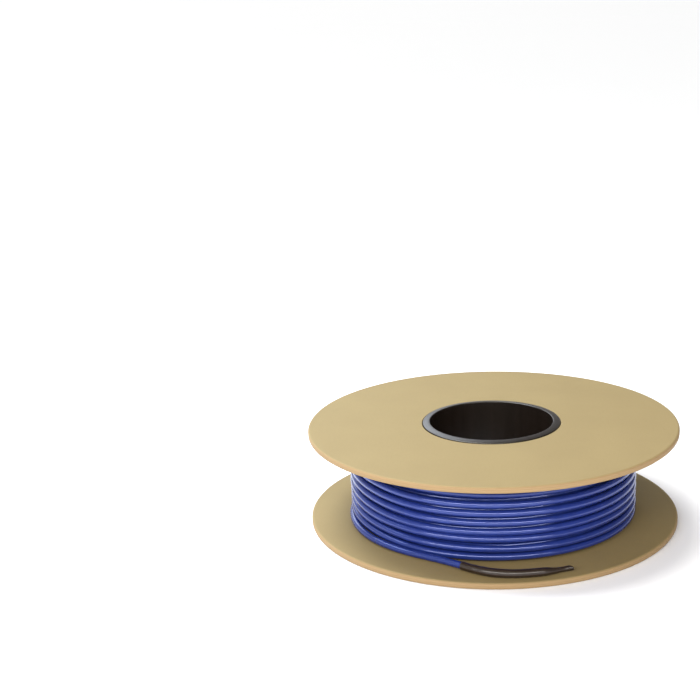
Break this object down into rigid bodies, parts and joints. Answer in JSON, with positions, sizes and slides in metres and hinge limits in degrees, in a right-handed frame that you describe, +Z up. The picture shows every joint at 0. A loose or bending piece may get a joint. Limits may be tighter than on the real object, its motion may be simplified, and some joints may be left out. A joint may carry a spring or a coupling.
{
  "type": "heating cable on a reel",
  "caption": "Reel of blue floor heating cable: fibreboard flanges on a black core tube, a neat winding, and a free end sealed in a shrunk sleeve.",
  "frame": {"origin": "on the reel's axis, on the plane that the lower flange stands on", "axes": "+Z up along the reel's axis, -Y towards the side where the cable's free end lies, +X to the right seen from there"},
  "size_m": [0.228, 0.228, 0.0615],
  "materials": {
    "fibreboard": "matt kraft-faced fibreboard",
    "core_plastic": "glossy black extruded tube",
    "cable_sheath": "glossy blue extruded sheath",
    "shrink_sleeve": "semi-gloss black-brown heat-shrunk tube"
  },
  "bodies": {
    "root": {"lower_flange": "fibreboard", "upper_flange": "fibreboard", "core_tube": "core_plastic", "cable_winding": "cable_sheath", "cable_tail": "cable_sheath", "end_sleeve": "shrink_sleeve"}
  },
  "joints": []
}
